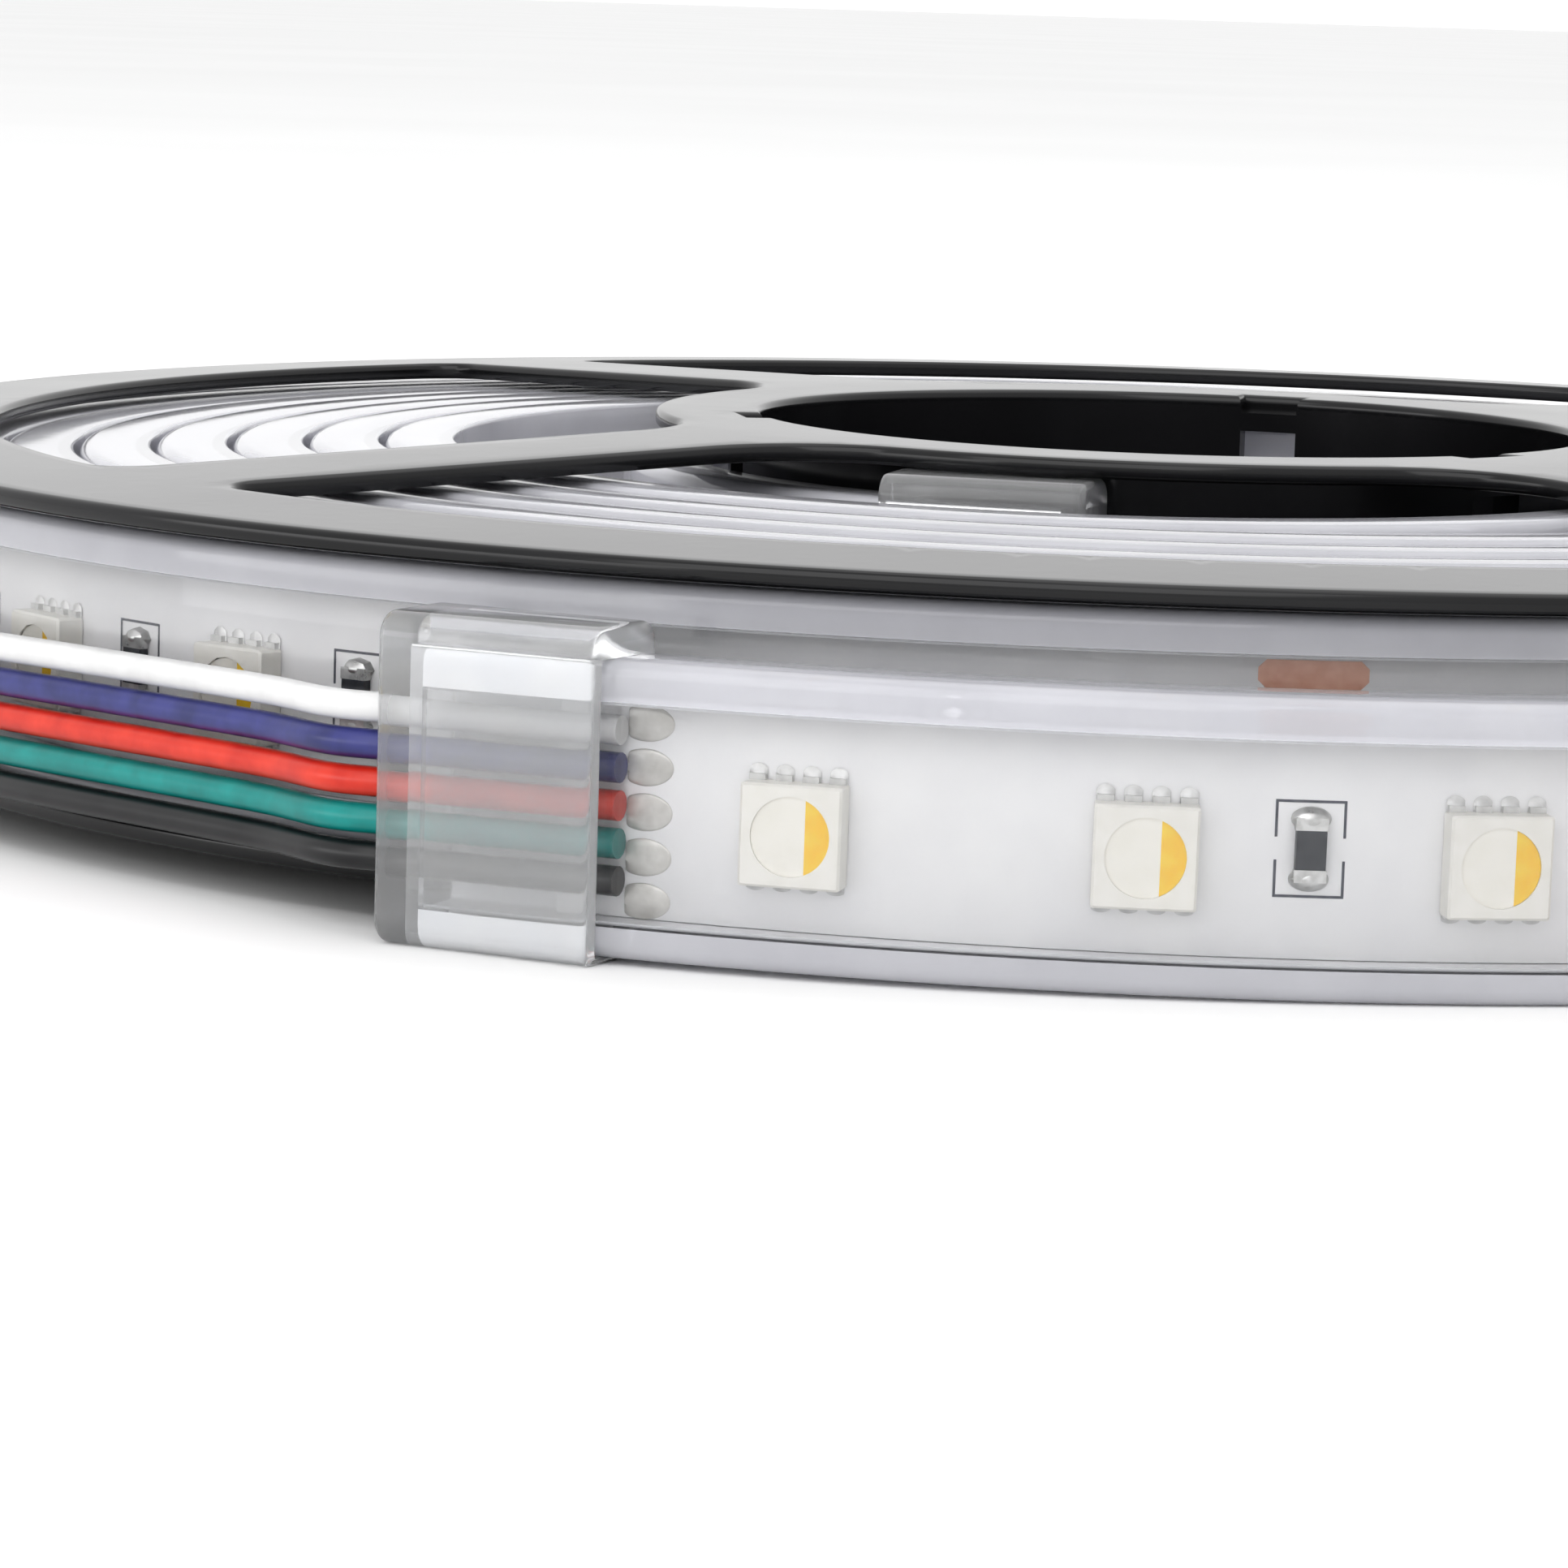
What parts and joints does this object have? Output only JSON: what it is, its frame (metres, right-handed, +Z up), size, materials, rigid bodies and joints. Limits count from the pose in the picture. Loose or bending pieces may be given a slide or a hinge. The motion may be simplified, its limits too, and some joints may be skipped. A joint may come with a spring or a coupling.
{
  "type": "led strip light reel",
  "caption": "Clear silicone-sleeved RGBW light strip wound on a black windowed reel, with end caps and bare lead wires.",
  "frame": {"origin": "under the middle of the reel and strip, on the plane that the part rests on", "axes": "+Z up along the reel's axis, -Y towards the outer end of the strip"},
  "size_m": [0.1779, 0.1734, 0.021],
  "materials": {
    "black_plastic": "moulded polystyrene, glossy black",
    "clear_silicone": "clear extruded silicone, smooth",
    "milky_silicone": "moulded translucent silicone",
    "white_board": "white solder mask",
    "led_package": "white moulded package with clear resin",
    "resistor": "dark glazed chip with tinned ends",
    "insulation_black": "smooth PVC insulation",
    "insulation_green": "smooth PVC insulation",
    "insulation_red": "smooth PVC insulation",
    "insulation_blue": "smooth PVC insulation",
    "insulation_white": "smooth PVC insulation"
  },
  "bodies": {
    "root": {"flex_board": "white_board", "inner_end_cap": "milky_silicone", "lead_black": "insulation_black", "lead_blue": "insulation_blue", "lead_end_black": "insulation_black", "lead_end_blue": "insulation_blue", "lead_end_green": "insulation_green", "lead_end_red": "insulation_red", "lead_end_white": "insulation_white", "lead_green": "insulation_green", "lead_red": "insulation_red", "lead_white": "insulation_white", "led_01": "led_package", "led_02": "led_package", "led_03": "led_package", "led_04": "led_package", "led_05": "led_package", "led_06": "led_package", "led_07": "led_package", "led_08": "led_package", "led_09": "led_package", "led_10": "led_package", "led_11": "led_package", "led_12": "led_package", "led_13": "led_package", "led_14": "led_package", "led_15": "led_package", "led_16": "led_package", "led_17": "led_package", "led_18": "led_package", "outer_end_cap": "milky_silicone", "reel_lower_half": "black_plastic", "reel_upper_half": "black_plastic", "resistor_01": "resistor", "resistor_02": "resistor", "resistor_03": "resistor", "resistor_04": "resistor", "resistor_05": "resistor", "resistor_06": "resistor", "resistor_07": "resistor", "resistor_08": "resistor", "resistor_09": "resistor", "resistor_10": "resistor", "resistor_11": "resistor", "resistor_12": "resistor", "silicone_sleeve": "clear_silicone"}
  },
  "joints": []
}
